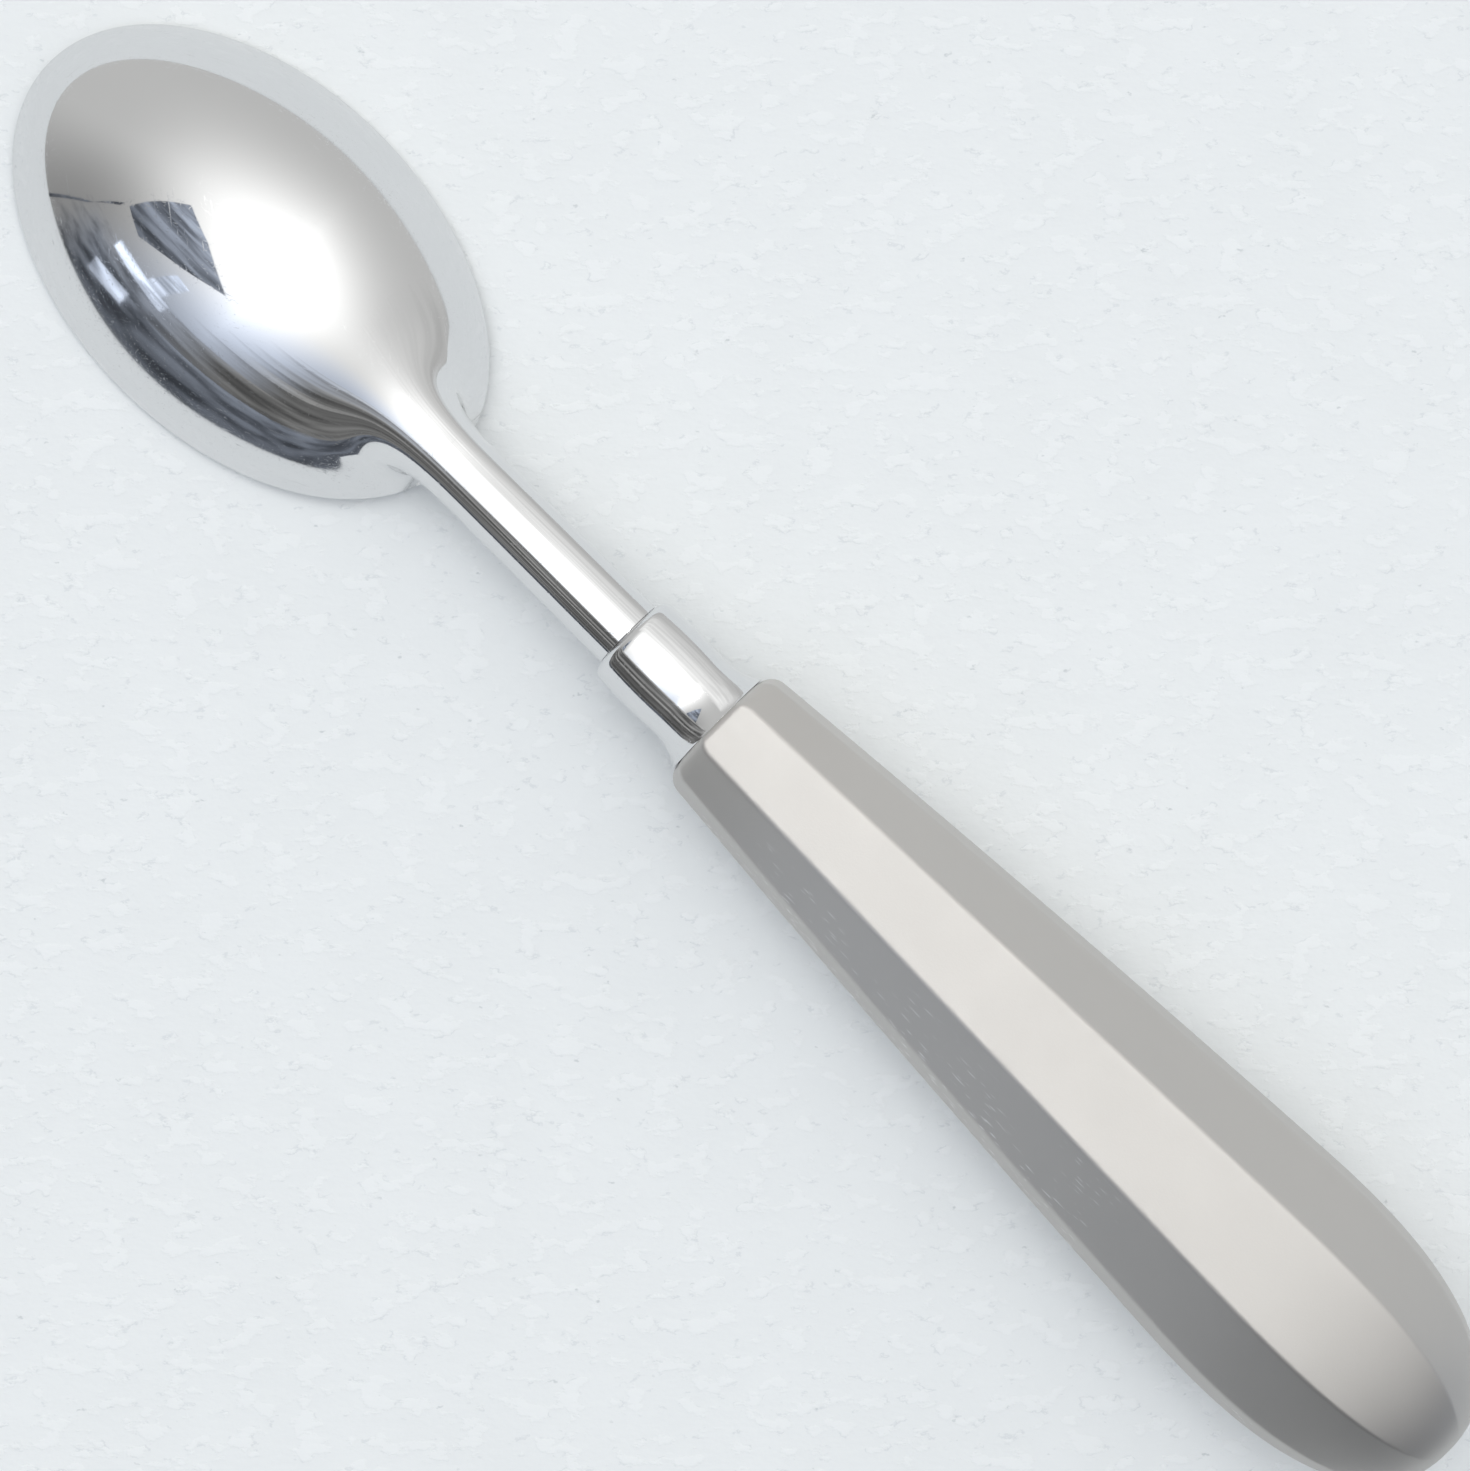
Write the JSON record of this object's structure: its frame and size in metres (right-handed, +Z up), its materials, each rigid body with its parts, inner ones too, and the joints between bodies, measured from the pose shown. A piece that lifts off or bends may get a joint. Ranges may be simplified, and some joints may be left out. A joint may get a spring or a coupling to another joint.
{
  "type": "quenelle spoon",
  "caption": "Spoon with an oval mirror polished bowl, a round neck and a turned ferrule, on a hollow faceted satin steel handle, for shaping quenelles.",
  "frame": {"origin": "bottom centre of the bounding box, on the surface that the spoon lies on, face down", "axes": "+X from the tip of the bowl to the butt of the handle, +Z up, away from the hollow of the bowl"},
  "size_m": [0.1906, 0.0354, 0.018],
  "materials": {
    "polished_steel": "mirror polished stainless steel with fine hairlines",
    "satin_steel": "satin, fine bead blasted stainless steel",
    "cement": "set cement, rough"
  },
  "bodies": {
    "root": {"spoon_head": "polished_steel", "ferrule": "polished_steel", "handle_upper_shell": "satin_steel", "handle_lower_shell": "satin_steel", "handle_filler": "cement"}
  },
  "joints": []
}
